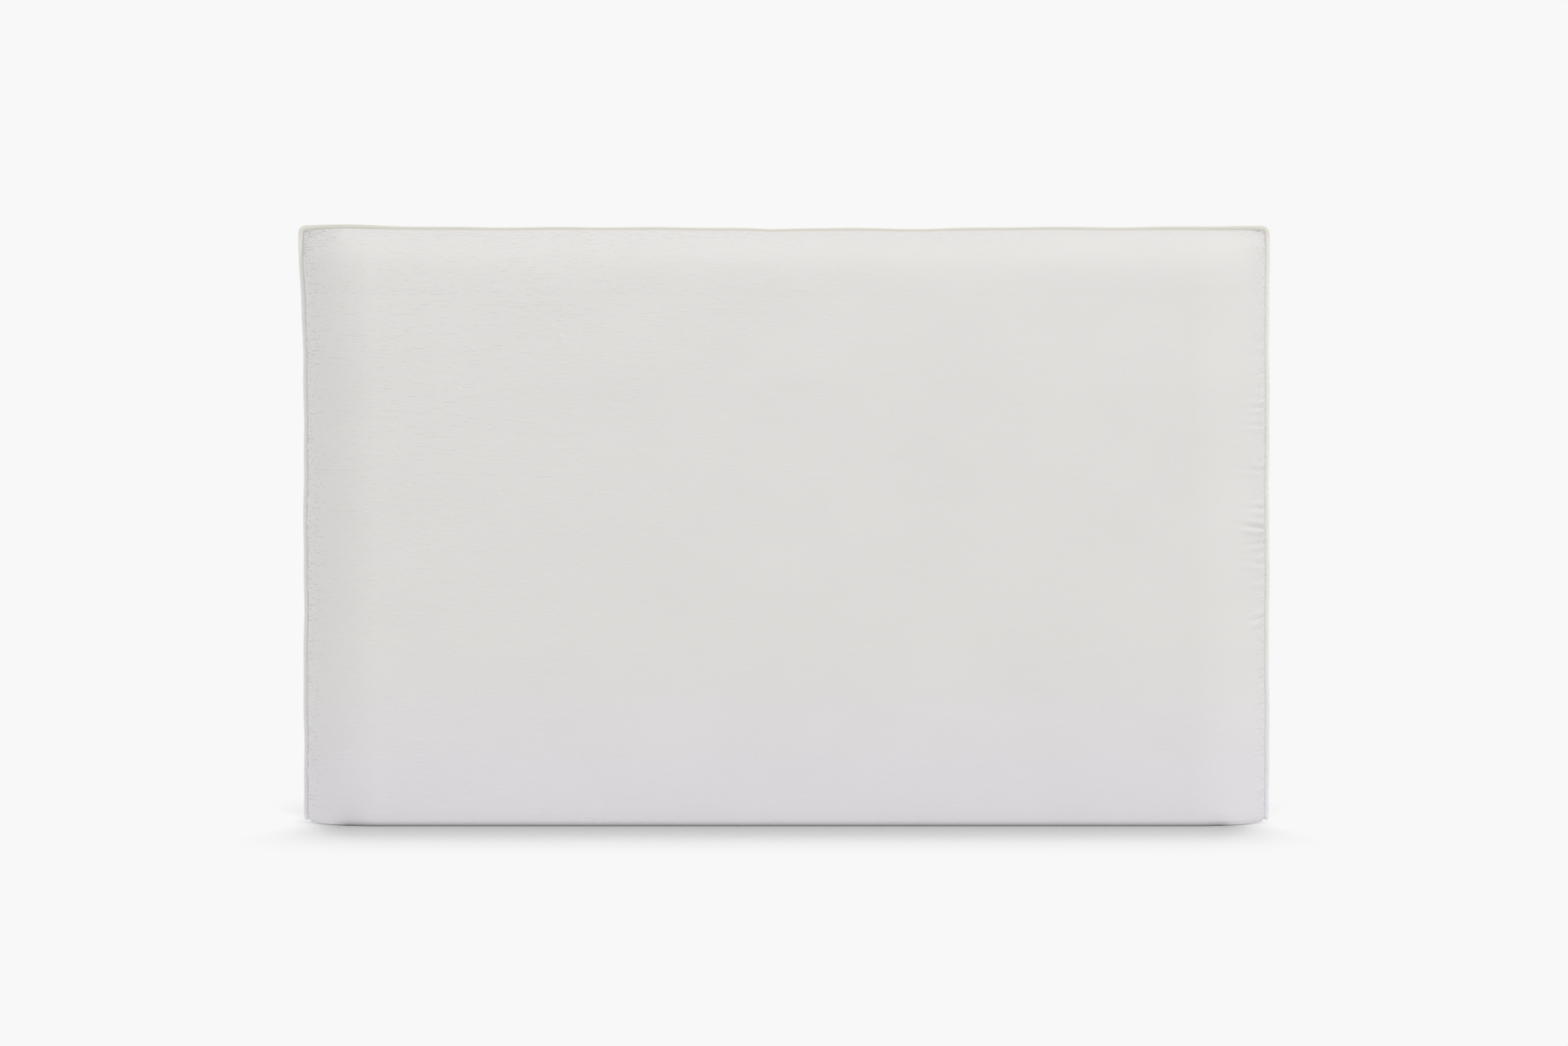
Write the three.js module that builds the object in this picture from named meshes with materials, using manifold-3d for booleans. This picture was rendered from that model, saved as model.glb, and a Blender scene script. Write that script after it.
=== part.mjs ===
// A foam bed pillow in a sewn, piped and zipped case, standing on its long bottom edge.
// Millimetres. +X runs along the length, +Y from the front face to the back face, +Z up.
// The origin is on the surface it stands on, under the middle of the pillow.

import * as THREE from 'three';
import { mergeVertices } from 'three/addons/utils/BufferGeometryUtils.js';
import Module from 'manifold-3d';

const wasm = await Module();
wasm.setup();

// ---------------------------------------------------------------- driving dimensions
const WIDTH = 660; // across the piping
const HEIGHT = 406; // from the floor to the top of the piping
const LOFT = 127; // from front face to back face
const SIDE_REACH = 50; // how far in from a side seam the case reaches full loft
const TOP_REACH = 40; // the same, down from the top seam
const FOOT_RADIUS = 8; // round between each face and the bottom
const CORNER_PULL = 3; // how far the side seams draw in at the floor
const CORNER_RISE = 8; // height over which they do
const CLEARANCE = 0.3; // gap between neighbouring pieces

const CASE_WALL = 1.2;
const CASE_CORNER = 6; // radius of the top corners of the seam
const LINER_WALL = 0.8;
const CORE_CORNER = 30;
const LAYER_GAP = 0.5; // case to liner, and liner to core
const SEAM_GAP = 1.2; // between the two panels' edges, which holds the thread
const SEAM_EDGE = 1; // half thickness of a soft body at its seam

const PIPING_RADIUS = 1.8;
const PIPING_WALL = 0.35;
const PIPING_CORD_RADIUS = 1.15;
const PIPING_START = 6; // height of the piping's two ends
const THREAD_RADIUS = 0.3;

const GROOVE_LEDGE = 14; // half width of the flat at the top of the zip's groove
const GROOVE_FOOT = 22; // half width of the groove at the floor
const GROOVE_DEPTH = 7;
const GROOVE_FADE = 25; // the groove runs out over this length before each side seam
const LINER_GROOVE_LEDGE = 16;
const LINER_GROOVE_FOOT = 26;
const LINER_GROOVE_TOP = 12; // height of the liner over the zip
const GROOVE_REACH = 40; // height by which the groove's lift has died away

const ZIP_OPENING = 600; // length of the slot between the two hemmed edges
const ZIP_SLOT_HALF = 6; // from the middle to each hemmed edge
const TAPE_LENGTH = 608;
const TAPE_INNER = 2.2;
const TAPE_OUTER = 15;
const TAPE_THICKNESS = 0.6;
const COIL_START = -287;
const COIL_END = 290;
const COIL_INNER = 0.9;
const COIL_OUTER = 2;
const COIL_HEIGHT = 2;
const COIL_MIDDLE = 8.7; // height of the coils and tapes above the floor
const STOP_LENGTH = 3;
const STOP_HEIGHT = 2.4;
const SLIDER_X = 283; // slider's place with the zip closed
const PULL_PIVOT = 4.9; // height of the pull tab's pin above the floor
const VENT_RADIUS = 3;
const VENT_PITCH = 60;
const VENT_COLUMNS = 9;
const VENT_ROWS = 5;
const VENT_LOWEST = 85;

// ---------------------------------------------------------------- sizes that follow
const SEAM_HALF = WIDTH / 2 - 2 * PIPING_RADIUS - CLEARANCE;
const SEAM_TOP = HEIGHT - 2 * PIPING_RADIUS - CLEARANCE;
const PIPING_OFFSET = PIPING_RADIUS + CLEARANCE;
const LINER_INSET = CASE_WALL + LAYER_GAP;
const CORE_INSET = LINER_INSET + LINER_WALL + LAYER_GAP;
const LINER_LIFT = LINER_GROOVE_TOP - LINER_INSET;

// ---------------------------------------------------------------- mesh helpers
function weld(geometry) {
  const bare = geometry.clone();
  bare.deleteAttribute('normal');
  bare.deleteAttribute('uv');
  return mergeVertices(bare, 1e-4);
}

function toSolid(geometry) {
  const welded = weld(geometry);
  return new wasm.Manifold(
    new wasm.Mesh({
      numProp: 3,
      vertProperties: new Float32Array(welded.attributes.position.array),
      triVerts: new Uint32Array(welded.index.array),
    }),
  );
}

function toGeometry(solid) {
  const mesh = solid.getMesh();
  const geometry = new THREE.BufferGeometry();
  geometry.setAttribute('position', new THREE.BufferAttribute(mesh.vertProperties, 3));
  geometry.setIndex(new THREE.BufferAttribute(mesh.triVerts, 1));
  return geometry;
}

function block(low, high) {
  const size = high.map((value, axis) => value - low[axis]);
  const middle = high.map((value, axis) => (value + low[axis]) / 2);
  return new THREE.BoxGeometry(...size).translate(...middle);
}

function rodAlongX(x0, x1, y, z, radius, sides) {
  const rod = new THREE.CylinderGeometry(radius, radius, x1 - x0, sides);
  return rod.rotateZ(Math.PI / 2).translate((x0 + x1) / 2, y, z);
}

function rodAlongY(y0, y1, x, z, radius, sides) {
  const rod = new THREE.CylinderGeometry(radius, radius, y1 - y0, sides);
  return rod.translate(x, (y0 + y1) / 2, z);
}

function piece(name, geometry, material) {
  const shape = weld(geometry);
  shape.computeVertexNormals();
  const mesh = new THREE.Mesh(shape, material);
  mesh.name = name;
  return mesh;
}

function finish(color, roughness, metalness = 0) {
  return new THREE.MeshStandardMaterial({ color, roughness, metalness });
}

// ---------------------------------------------------------------- the pillow's form
// Quarter-ellipse rise from a seam: 0 on the seam, 1 from reach inwards.
function bulge(distance, reach) {
  const t = Math.min(Math.max(distance / reach, 0), 1);
  return Math.sqrt(1 - (1 - t) ** 2);
}

// How far a side seam has drawn in at a height above the floor.
function seamPull(height) {
  return CORNER_PULL * (1 - bulge(height, CORNER_RISE));
}

const EDGE_STEPS = 6; // grid steps across the round next to a side or top seam
const FLAT_COLUMNS = 4;
const FOOT_STEPS = 3;
const FLAT_ROWS = 2;
const COLUMNS = 2 * EDGE_STEPS + FLAT_COLUMNS;
const ROWS = FOOT_STEPS + FLAT_ROWS + EDGE_STEPS;

function easedStep(index, steps, reach) {
  return reach * (1 - Math.cos((index / steps) * (Math.PI / 2)));
}

// Distance in from the nearest side seam, for a grid column of a body halfWidth wide.
function columnInset(column, halfWidth) {
  const nearest = Math.min(column, COLUMNS - column);
  if (nearest <= EDGE_STEPS) return easedStep(nearest, EDGE_STEPS, SIDE_REACH);
  const across = (nearest - EDGE_STEPS) / (FLAT_COLUMNS / 2);
  return THREE.MathUtils.lerp(SIDE_REACH, halfWidth, across);
}

// Height of a grid row, and how much the round at the foot takes off the half thickness.
function rowPlace(row, inset) {
  const radius = FOOT_RADIUS - inset;
  const top = SEAM_TOP - inset;
  if (row <= FOOT_STEPS) {
    const turn = (row / FOOT_STEPS) * (Math.PI / 2);
    return { z: inset + easedStep(row, FOOT_STEPS, radius), shave: radius * (1 - Math.sin(turn)) };
  }
  const below = ROWS - row;
  if (below <= EDGE_STEPS) return { z: top - easedStep(below, EDGE_STEPS, TOP_REACH), shave: 0 };
  const up = (row - FOOT_STEPS) / FLAT_ROWS;
  return { z: THREE.MathUtils.lerp(FOOT_RADIUS, top - TOP_REACH, up), shave: 0 };
}

// A place in the square corner of the grid, moved so that the corner's outline is an arc.
function roundCorner(side, top, radius) {
  if (side >= radius || top >= radius) return { side, top };
  const a = 1 - side / radius;
  const b = 1 - top / radius;
  return {
    side: radius * (1 - a * Math.sqrt(1 - (b * b) / 2)),
    top: radius * (1 - b * Math.sqrt(1 - (a * a) / 2)),
  };
}

// A closed soft body inset from the case's outer surface. stations run from its lowest y to its
// highest. Each has a side (-1 front, 1 back) and a share of the way from rim to surface, or a
// distance from the middle that it keeps while there is that much depth.
function softBody({ inset, corner, rim, stations, groove }) {
  const depth = stations.length - 1;
  const geometry = new THREE.BoxGeometry(1, 1, 1, COLUMNS, depth, ROWS);
  const points = geometry.attributes.position;
  const fullDepth = LOFT / 2 - inset;
  for (let n = 0; n < points.count; n += 1) {
    const column = Math.round((points.getX(n) + 0.5) * COLUMNS);
    const station = stations[Math.round((points.getY(n) + 0.5) * depth)];
    const { z: rowZ, shave } = rowPlace(Math.round((points.getZ(n) + 0.5) * ROWS), inset);
    const halfWidth = SEAM_HALF - inset - seamPull(rowZ);
    const fromSide = columnInset(column, halfWidth);
    const fromTop = SEAM_TOP - inset - rowZ;
    const rise = bulge(fromSide, SIDE_REACH) * bulge(fromTop, TOP_REACH);
    const surface = SEAM_EDGE + (fullDepth - shave - SEAM_EDGE) * rise;
    const out = Math.min(rim + (surface - rim) * station.share, station.at ?? LOFT);
    const placed = roundCorner(fromSide, fromTop, corner);
    const fade = groove.fade ? THREE.MathUtils.smoothstep(fromSide, 0, groove.fade) : 1;
    const lift = station.lifted ? groove.lift * fade * Math.max(1 - rowZ / GROOVE_REACH, 0) : 0;
    points.setXYZ(
      n,
      (column < COLUMNS / 2 ? -1 : 1) * (halfWidth - placed.side),
      station.side * out,
      SEAM_TOP - inset - placed.top + lift,
    );
  }
  return toSolid(geometry);
}

// The stations from the rim out to the surface, listed from lowest y to highest.
function halfStations(side, groove, withRim) {
  const outward = [
    { side, share: 0.6, at: groove.ledge, lifted: true },
    { side, share: 0.85, at: groove.foot },
    { side, share: 1 },
  ];
  if (withRim) outward.unshift({ side, share: 0, lifted: true });
  return side < 0 ? outward.reverse() : outward;
}

function halfBody(side, inset, corner, rim, groove) {
  return softBody({ inset, corner, rim, groove, stations: halfStations(side, groove, true) });
}

// One sewn panel: a tray of even wall whose rim lies beside the seam.
function tray(side, inset, wall, corner, groove) {
  const pastRim = 5;
  const outer = halfBody(side, inset, corner, SEAM_GAP / 2, groove);
  const inner = halfBody(side, inset + wall, corner, -pastRim, groove);
  return outer.subtract(inner);
}

// ---------------------------------------------------------------- seam lines
// A curve whose steps fall on its own points, so that straight runs cost nothing.
class SeamCurve extends THREE.CatmullRomCurve3 {
  getUtoTmapping(u) {
    return u;
  }
}

// Right-hand half of a seam line, from low on the side seam, over the corner, to the middle.
function rightSeam(inset, lowest, corner, lift) {
  const bendSteps = 5;
  const points = [];
  for (let n = 0; n <= bendSteps; n += 1) {
    const z = THREE.MathUtils.lerp(lowest, CORNER_RISE, n / bendSteps);
    const raised = z + lift * (1 - z / GROOVE_REACH);
    points.push(new THREE.Vector3(SEAM_HALF - inset - seamPull(z), 0, raised));
  }
  const straightLead = 12;
  const radius = corner - inset;
  const centreX = SEAM_HALF - corner;
  const centreZ = SEAM_TOP - corner;
  for (const z of [2 * CORNER_RISE, centreZ - straightLead]) {
    points.push(new THREE.Vector3(SEAM_HALF - inset, 0, z));
  }
  for (let n = 0; n <= bendSteps; n += 1) {
    const angle = (n / bendSteps) * (Math.PI / 2);
    const x = centreX + radius * Math.cos(angle);
    points.push(new THREE.Vector3(x, 0, centreZ + radius * Math.sin(angle)));
  }
  for (const x of [centreX - straightLead, centreX / 2]) {
    points.push(new THREE.Vector3(x, 0, SEAM_TOP - inset));
  }
  return points;
}

function mirrored(points) {
  return points.map((point) => new THREE.Vector3(-point.x, point.y, point.z)).reverse();
}

function sweep(points, radius, sides, boreRadius) {
  const section = new THREE.Shape().absarc(0, 0, radius, 0, 2 * Math.PI);
  if (boreRadius) section.holes.push(new THREE.Path().absarc(0, 0, boreRadius, 0, 2 * Math.PI));
  const curve = new SeamCurve(points, false, 'centripetal');
  const steps = points.length - 1;
  const options = { steps, extrudePath: curve, curveSegments: sides / 2 };
  return new THREE.ExtrudeGeometry(section, options);
}

// ---------------------------------------------------------------- soft pieces
const CASE_GROOVE = {
  ledge: GROOVE_LEDGE,
  foot: GROOVE_FOOT,
  lift: GROOVE_DEPTH,
  fade: GROOVE_FADE,
};
const LINER_GROOVE = { ledge: LINER_GROOVE_LEDGE, foot: LINER_GROOVE_FOOT, lift: LINER_LIFT };

function casePanel(side) {
  const slot = block(
    [-ZIP_OPENING / 2, -ZIP_SLOT_HALF, -1],
    [ZIP_OPENING / 2, ZIP_SLOT_HALF, GROOVE_DEPTH + 2 * CASE_WALL],
  );
  return toGeometry(tray(side, 0, CASE_WALL, CASE_CORNER, CASE_GROOVE).subtract(toSolid(slot)));
}

function linerPanel(side) {
  return toGeometry(tray(side, LINER_INSET, LINER_WALL, CASE_CORNER, LINER_GROOVE));
}

function foamCore() {
  const stations = [
    ...halfStations(-1, LINER_GROOVE, false),
    ...halfStations(1, LINER_GROOVE, false),
  ];
  let core = softBody({
    inset: CORE_INSET,
    corner: CORE_CORNER,
    rim: 0,
    groove: LINER_GROOVE,
    stations,
  });
  for (let column = 0; column < VENT_COLUMNS; column += 1) {
    for (let row = 0; row < VENT_ROWS; row += 1) {
      const x = (column - (VENT_COLUMNS - 1) / 2) * VENT_PITCH;
      const z = VENT_LOWEST + row * VENT_PITCH;
      core = core.subtract(toSolid(rodAlongY(-LOFT, LOFT, x, z, VENT_RADIUS, 6)));
    }
  }
  return toGeometry(core);
}

// Piping and the case's thread run up one side, along the top and down the other side.
function overTheTop(inset) {
  const right = rightSeam(inset, PIPING_START, CASE_CORNER, 0);
  return [...right, ...mirrored(right)];
}

// The liner's thread goes all the way round, and its ends meet under the middle.
function allRound(inset) {
  const right = rightSeam(inset, inset, CASE_CORNER, LINER_LIFT);
  const low = right[0];
  const endGap = 1;
  const under = [endGap, low.x / 2, low.x - 4 * inset].map((x) => new THREE.Vector3(x, 0, low.z));
  const half = [...under, ...right];
  return [...half, ...mirrored(half)];
}

// ---------------------------------------------------------------- zip
const TAPE_LOW = COIL_MIDDLE - TAPE_THICKNESS / 2;
const STOP_START = COIL_END + CLEARANCE;

function zipTape(side) {
  const inner = side * TAPE_INNER;
  const outer = side * TAPE_OUTER;
  return block(
    [-TAPE_LENGTH / 2, Math.min(inner, outer), TAPE_LOW],
    [TAPE_LENGTH / 2, Math.max(inner, outer), TAPE_LOW + TAPE_THICKNESS],
  );
}

// Half of the coil: a bar of rounded section, because the turns touch.
function zipCoil(side) {
  const halfThick = (COIL_OUTER - COIL_INNER) / 2;
  const bar = rodAlongX(COIL_START, COIL_END, 0, 0, 1, 8);
  bar.rotateX(Math.PI / 8);
  const flatShare = 1 / Math.cos(Math.PI / 8);
  bar.scale(1, halfThick * flatShare, (COIL_HEIGHT / 2) * flatShare);
  return bar.translate(0, side * (COIL_INNER + halfThick), COIL_MIDDLE);
}

function stopBlock(x0, y0, y1) {
  return block(
    [x0, y0, COIL_MIDDLE - STOP_HEIGHT / 2],
    [x0 + STOP_LENGTH, y1, COIL_MIDDLE + STOP_HEIGHT / 2],
  );
}

function topStop(side) {
  const reach = TAPE_INNER - CLEARANCE;
  const inner = side * COIL_INNER;
  const outer = side * reach;
  return stopBlock(STOP_START, Math.min(inner, outer), Math.max(inner, outer));
}

function bottomStop() {
  const reach = TAPE_INNER - CLEARANCE;
  return stopBlock(COIL_START - CLEARANCE - STOP_LENGTH, -reach, reach);
}

// Dense stitching across the slot at each end of the zip, under the tapes.
function barTack(side) {
  const tackLength = 2;
  const tackThickness = 0.6;
  const middle = side * (ZIP_OPENING / 2 - tackLength);
  const high = TAPE_LOW - CLEARANCE;
  const reach = ZIP_SLOT_HALF - CLEARANCE;
  return block(
    [middle - tackLength / 2, -reach, high - tackThickness],
    [middle + tackLength / 2, reach, high],
  );
}

// The row of stitches that holds a hemmed edge to its tape, along the underside of the hem.
function zipStitch(side) {
  const fromEdge = 2;
  const reach = ZIP_OPENING / 2 - GROOVE_FADE;
  const z = GROOVE_DEPTH - CLEARANCE - THREAD_RADIUS;
  return rodAlongX(-reach, reach, side * (ZIP_SLOT_HALF + fromEdge), z, THREAD_RADIUS, 6);
}

// Slider sizes, about the slider's own middle, which is on the coils' middle height.
const WING_LENGTH = 10;
const WING_WIDTH = 9;
const WING_THICKNESS = 1;
const WING_GAP = 1.3; // from the coils' middle to each wing
const LIP_THICKNESS = 0.8;
const LIP_DROP = 0.6;
const POST_WIDTH = 1.2;
const POST_LENGTH = 2.5;
const PIN_RADIUS = 0.5;
const EAR_INNER = 2.6;
const EAR_OUTER = 3.4;
const EAR_HALF = 1.4;
const EAR_BELOW_PIN = 1;
const PULL_DROP = COIL_MIDDLE - PULL_PIVOT;

// One wing plate, rounded at its corners, with a lip down each long edge.
function sliderWing(up) {
  const halfLength = WING_LENGTH / 2;
  const halfWidth = WING_WIDTH / 2;
  const round = 1.5;
  const outline = new THREE.Shape()
    .moveTo(halfLength - round, -halfWidth)
    .quadraticCurveTo(halfLength, -halfWidth, halfLength, round - halfWidth)
    .lineTo(halfLength, halfWidth - round)
    .quadraticCurveTo(halfLength, halfWidth, halfLength - round, halfWidth)
    .lineTo(round - halfLength, halfWidth)
    .quadraticCurveTo(-halfLength, halfWidth, -halfLength, halfWidth - round)
    .lineTo(-halfLength, round - halfWidth)
    .quadraticCurveTo(-halfLength, -halfWidth, round - halfLength, -halfWidth);
  const options = { depth: WING_THICKNESS, bevelEnabled: false, curveSegments: 3 };
  const plate = new THREE.ExtrudeGeometry(outline, options);
  plate.translate(0, 0, up > 0 ? WING_GAP : -WING_GAP - WING_THICKNESS);
  let wing = toSolid(plate);
  const lipLow = up > 0 ? WING_GAP - LIP_DROP : -WING_GAP - WING_THICKNESS / 2;
  const lipHigh = lipLow + LIP_DROP + WING_THICKNESS / 2;
  for (const side of [-1, 1]) {
    const outer = side * halfWidth;
    const inner = side * (halfWidth - LIP_THICKNESS);
    const lip = block(
      [round - halfLength, Math.min(inner, outer), lipLow],
      [halfLength - round, Math.max(inner, outer), lipHigh],
    );
    wing = wing.add(toSolid(lip));
  }
  return wing;
}

function zipSlider() {
  const postEnd = WING_LENGTH / 2 - 1;
  const postReach = WING_GAP + WING_THICKNESS / 2;
  const post = block(
    [postEnd - POST_LENGTH, -POST_WIDTH / 2, -postReach],
    [postEnd, POST_WIDTH / 2, postReach],
  );
  let slider = sliderWing(1).add(sliderWing(-1)).add(toSolid(post));
  for (const side of [-1, 1]) {
    const ear = block(
      [-EAR_HALF, Math.min(side * EAR_INNER, side * EAR_OUTER), -PULL_DROP - EAR_BELOW_PIN],
      [EAR_HALF, Math.max(side * EAR_INNER, side * EAR_OUTER), -postReach],
    );
    slider = slider.add(toSolid(ear));
  }
  const pinReach = (EAR_INNER + EAR_OUTER) / 2;
  const pin = rodAlongY(-pinReach, pinReach, 0, -PULL_DROP, PIN_RADIUS, 12);
  return toGeometry(slider.add(toSolid(pin)));
}

// Pull tab, about the pin: an eye round the pin and a flat tab that lies towards -X.
function zipPull() {
  const eyeRadius = 1.2;
  const boreRadius = PIN_RADIUS + CLEARANCE;
  const neckHalf = 2.2;
  const neckLength = 3;
  const tabHalf = 3;
  const tabLength = 20;
  const tabThickness = 1.2;
  const gripRadius = 1.2;
  const outline = new THREE.Shape()
    .moveTo(-boreRadius, -neckHalf)
    .lineTo(-boreRadius, neckHalf)
    .lineTo(-neckLength, neckHalf)
    .lineTo(-neckLength - 2, tabHalf)
    .lineTo(-tabLength, tabHalf)
    .absarc(-tabLength, 0, tabHalf, Math.PI / 2, 1.5 * Math.PI)
    .lineTo(-neckLength - 2, -tabHalf)
    .lineTo(-neckLength, -neckHalf);
  outline.holes.push(new THREE.Path().absarc(-tabLength, 0, gripRadius, 0, 2 * Math.PI));
  const options = { depth: tabThickness, bevelEnabled: false, curveSegments: 5 };
  const tab = new THREE.ExtrudeGeometry(outline, options).translate(0, 0, -tabThickness / 2);
  const eye = rodAlongY(-neckHalf, neckHalf, 0, 0, eyeRadius, 12);
  const bore = rodAlongY(-2 * neckHalf, 2 * neckHalf, 0, 0, boreRadius, 12);
  return toGeometry(toSolid(tab).add(toSolid(eye)).subtract(toSolid(bore)));
}

// ---------------------------------------------------------------- materials
const caseCloth = finish(0xdfded9, 0.9);
const pipingCloth = finish(0xd9d8ce, 0.9);
const linerKnit = finish(0xf1f0ec, 0.95);
const foam = finish(0xf0ead6, 0.95);
const cottonCord = finish(0xebe8dd, 0.95);
const thread = finish(0xe4e2da, 0.7);
const zipCloth = finish(0xe6e5e0, 0.85);
const nylon = finish(0xecebe6, 0.4);
const enamel = finish(0xe9e8e4, 0.3, 0.2);

// ---------------------------------------------------------------- assembly
const SIDES = [
  { side: -1, label: 'front' },
  { side: 1, label: 'back' },
];

const pillow = new THREE.Group();
const filling = new THREE.Group();
const liner = new THREE.Group();
const outerCase = new THREE.Group();
const zip = new THREE.Group();
pillow.add(filling, liner, outerCase, zip);

filling.add(piece('foam_core', foamCore(), foam));
for (const { side, label } of SIDES) {
  liner.add(piece(`liner_${label}`, linerPanel(side), linerKnit));
  outerCase.add(piece(`case_${label}`, casePanel(side), caseCloth));
  zip.add(piece(`zip_tape_${label}`, zipTape(side), zipCloth));
  zip.add(piece(`zip_coil_${label}`, zipCoil(side), nylon));
  zip.add(piece(`zip_top_stop_${label}`, topStop(side), nylon));
  zip.add(piece(`zip_stitching_${label}`, zipStitch(side), thread));
}
const linerThreadInset = LINER_INSET + LINER_WALL / 2;
liner.add(piece('liner_thread', sweep(allRound(linerThreadInset), THREAD_RADIUS, 6), thread));

const pipingLine = overTheTop(-PIPING_OFFSET);
const sleeveBore = PIPING_RADIUS - PIPING_WALL;
outerCase.add(piece('piping_cover', sweep(pipingLine, PIPING_RADIUS, 8, sleeveBore), pipingCloth));
outerCase.add(piece('piping_cord', sweep(pipingLine, PIPING_CORD_RADIUS, 8), cottonCord));
const caseThread = sweep(overTheTop(CASE_WALL / 2), THREAD_RADIUS, 6);
outerCase.add(piece('case_seam_thread', caseThread, thread));

zip.add(piece('zip_bottom_stop', bottomStop(), nylon));
zip.add(piece('zip_bar_tack_left', barTack(-1), thread));
zip.add(piece('zip_bar_tack_right', barTack(1), thread));

const runner = new THREE.Group();
runner.position.set(SLIDER_X, 0, COIL_MIDDLE);
const slider = piece('zip_slider', zipSlider(), enamel);
const pull = piece('zip_pull', zipPull(), enamel);
pull.position.set(0, 0, -PULL_DROP);
runner.add(slider, pull);
zip.add(runner);

export default pillow;
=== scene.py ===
"""A foam bed pillow in a piped and zipped case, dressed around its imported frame.

Metres throughout. The camera looks along +Y, +X is to its right and +Z is up. Every place comes
from the frame's boxes and from the named sizes below. Many of those repeat the part's own, and
the ones that differ a little are of cloth that is finer than the solid it stands for.
"""

import math
from collections import namedtuple

import bmesh
import bpy
import numpy as np
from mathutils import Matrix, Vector


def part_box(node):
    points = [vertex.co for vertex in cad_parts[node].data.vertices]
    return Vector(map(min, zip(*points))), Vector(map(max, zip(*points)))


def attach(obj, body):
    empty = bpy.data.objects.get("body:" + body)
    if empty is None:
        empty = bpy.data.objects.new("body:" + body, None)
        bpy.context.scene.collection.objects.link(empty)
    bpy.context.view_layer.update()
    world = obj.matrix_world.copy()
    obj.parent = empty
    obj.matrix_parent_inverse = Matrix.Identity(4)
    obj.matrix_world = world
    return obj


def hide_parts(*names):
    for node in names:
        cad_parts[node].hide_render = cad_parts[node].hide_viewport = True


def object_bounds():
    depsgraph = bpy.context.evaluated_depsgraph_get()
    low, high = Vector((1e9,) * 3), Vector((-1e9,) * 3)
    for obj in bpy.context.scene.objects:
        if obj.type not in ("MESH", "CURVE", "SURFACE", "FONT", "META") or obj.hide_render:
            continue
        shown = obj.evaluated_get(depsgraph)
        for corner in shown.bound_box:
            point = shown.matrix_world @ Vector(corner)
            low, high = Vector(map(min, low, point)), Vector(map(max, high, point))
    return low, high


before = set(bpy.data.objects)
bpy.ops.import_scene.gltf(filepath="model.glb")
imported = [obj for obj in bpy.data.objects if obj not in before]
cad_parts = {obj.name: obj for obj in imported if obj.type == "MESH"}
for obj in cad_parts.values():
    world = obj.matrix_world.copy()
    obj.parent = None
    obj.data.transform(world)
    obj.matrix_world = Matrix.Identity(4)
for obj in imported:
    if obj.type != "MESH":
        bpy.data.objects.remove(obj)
cad_low, cad_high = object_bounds()

# ---------------------------------------------------------------- sizes taken from the frame
MM = 0.001
case_low, case_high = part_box("case_front")
piping_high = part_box("piping_cover")[1]
SEAM_HALF = case_high.x  # middle of the pillow to a side seam
SEAM_TOP = case_high.z
FACE = -case_low.y  # middle plane to a face
PIPING_RADIUS = piping_high.y
PIPING_HALF_WIDE = PIPING_RADIUS - 0.05 * MM
PIPING_HALF_THICK = 1.2 * MM  # flatter than it is wide, as sewn cloth lies
CASE_SPREAD = 0.9 * MM  # how far the case's seam lies outside the frame's
PIPING_OFFSET = piping_high.x - PIPING_HALF_WIDE - SEAM_HALF - CASE_SPREAD

# ---------------------------------------------------------------- driving sizes of the cloth
SIDE_REACH = 50 * MM  # in from a side seam to full loft
TOP_REACH = 45 * MM
TOP_BLUFFNESS = 3.1  # 2 would round the top as an ellipse, and more makes it squarer
TOP_TAPER = 6 * MM  # how much a face leans back on its way to the top
TAPER_REACH = 110 * MM
FOOT_RADIUS = 3.5 * MM
SEAM_EDGE = 0.9 * MM  # half thickness at the seam
SEAM_LIP = 0.3 * MM  # flat strip beside the seam
HEM_INNER = 6 * MM  # middle plane to the hemmed edge beside the zip
LEDGE = 14 * MM  # middle plane to the end of the flat beside the zip
GROOVE_FOOT = 22 * MM  # middle plane to where the pillow first meets the floor
GROOVE_DEPTH = 7 * MM
GROOVE_FADE = 25 * MM
HEM_TURN = 1.1 * MM  # height of the folded hem
ZIP_HALF = 300 * MM  # half the opening
CLOSING_START = 4 * MM  # the hems start to close this far before the opening's end
CLOSING_LENGTH = 6 * MM
CLOSED_GAP = 0.35 * MM  # middle plane to each hem where the edge is sewn shut
CROWN = 2.5 * MM  # how far each face swells past flat
CORNER_PULL = 4 * MM
CORNER_RISE = 6 * MM
PIPING_START = 2 * MM
STITCH_PITCH = 3 * MM

# One layer of the pillow: how far it lies inside the frame's case at the seams, faces and foot,
# the radius of its top corners, the height of the hollow over the zip, whether it is hemmed beside
# the zip, and how coarse its mesh is.
Layer = namedtuple("Layer", "margin shave lift corner groove hemmed coarse")
CASE = Layer(-CASE_SPREAD, 0.0, 0.0, 2 * MM, GROOVE_DEPTH, True, 1)
LINER = Layer(4 * MM, 2 * MM, 2 * MM, 34 * MM, 12 * MM, False, 2)
CORE = Layer(6 * MM, 4 * MM, 4 * MM, 40 * MM, 14 * MM, False, 2)


# ---------------------------------------------------------------- small mathematics
def rise(t):
    """Quarter ellipse: 0 at 0, 1 from 1 on."""
    t = np.clip(t, 0.0, 1.0)
    return np.sqrt(1 - (1 - t) ** 2)


def smooth(t):
    t = np.clip(t, 0.0, 1.0)
    return t * t * (3 - 2 * t)


def bell(t):
    return np.exp(-0.5 * np.square(t))


def lengths_along(points):
    steps = np.linalg.norm(np.diff(points, axis=0), axis=1)
    return np.concatenate([[0.0], np.cumsum(steps)])


def resample(points, spacing):
    """The same line with points at even distances."""
    length = lengths_along(points)
    count = max(2, round(length[-1] / spacing) + 1)
    even = np.linspace(0, length[-1], count)
    return np.stack([np.interp(even, length, points[:, n]) for n in range(3)], axis=1)


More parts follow.
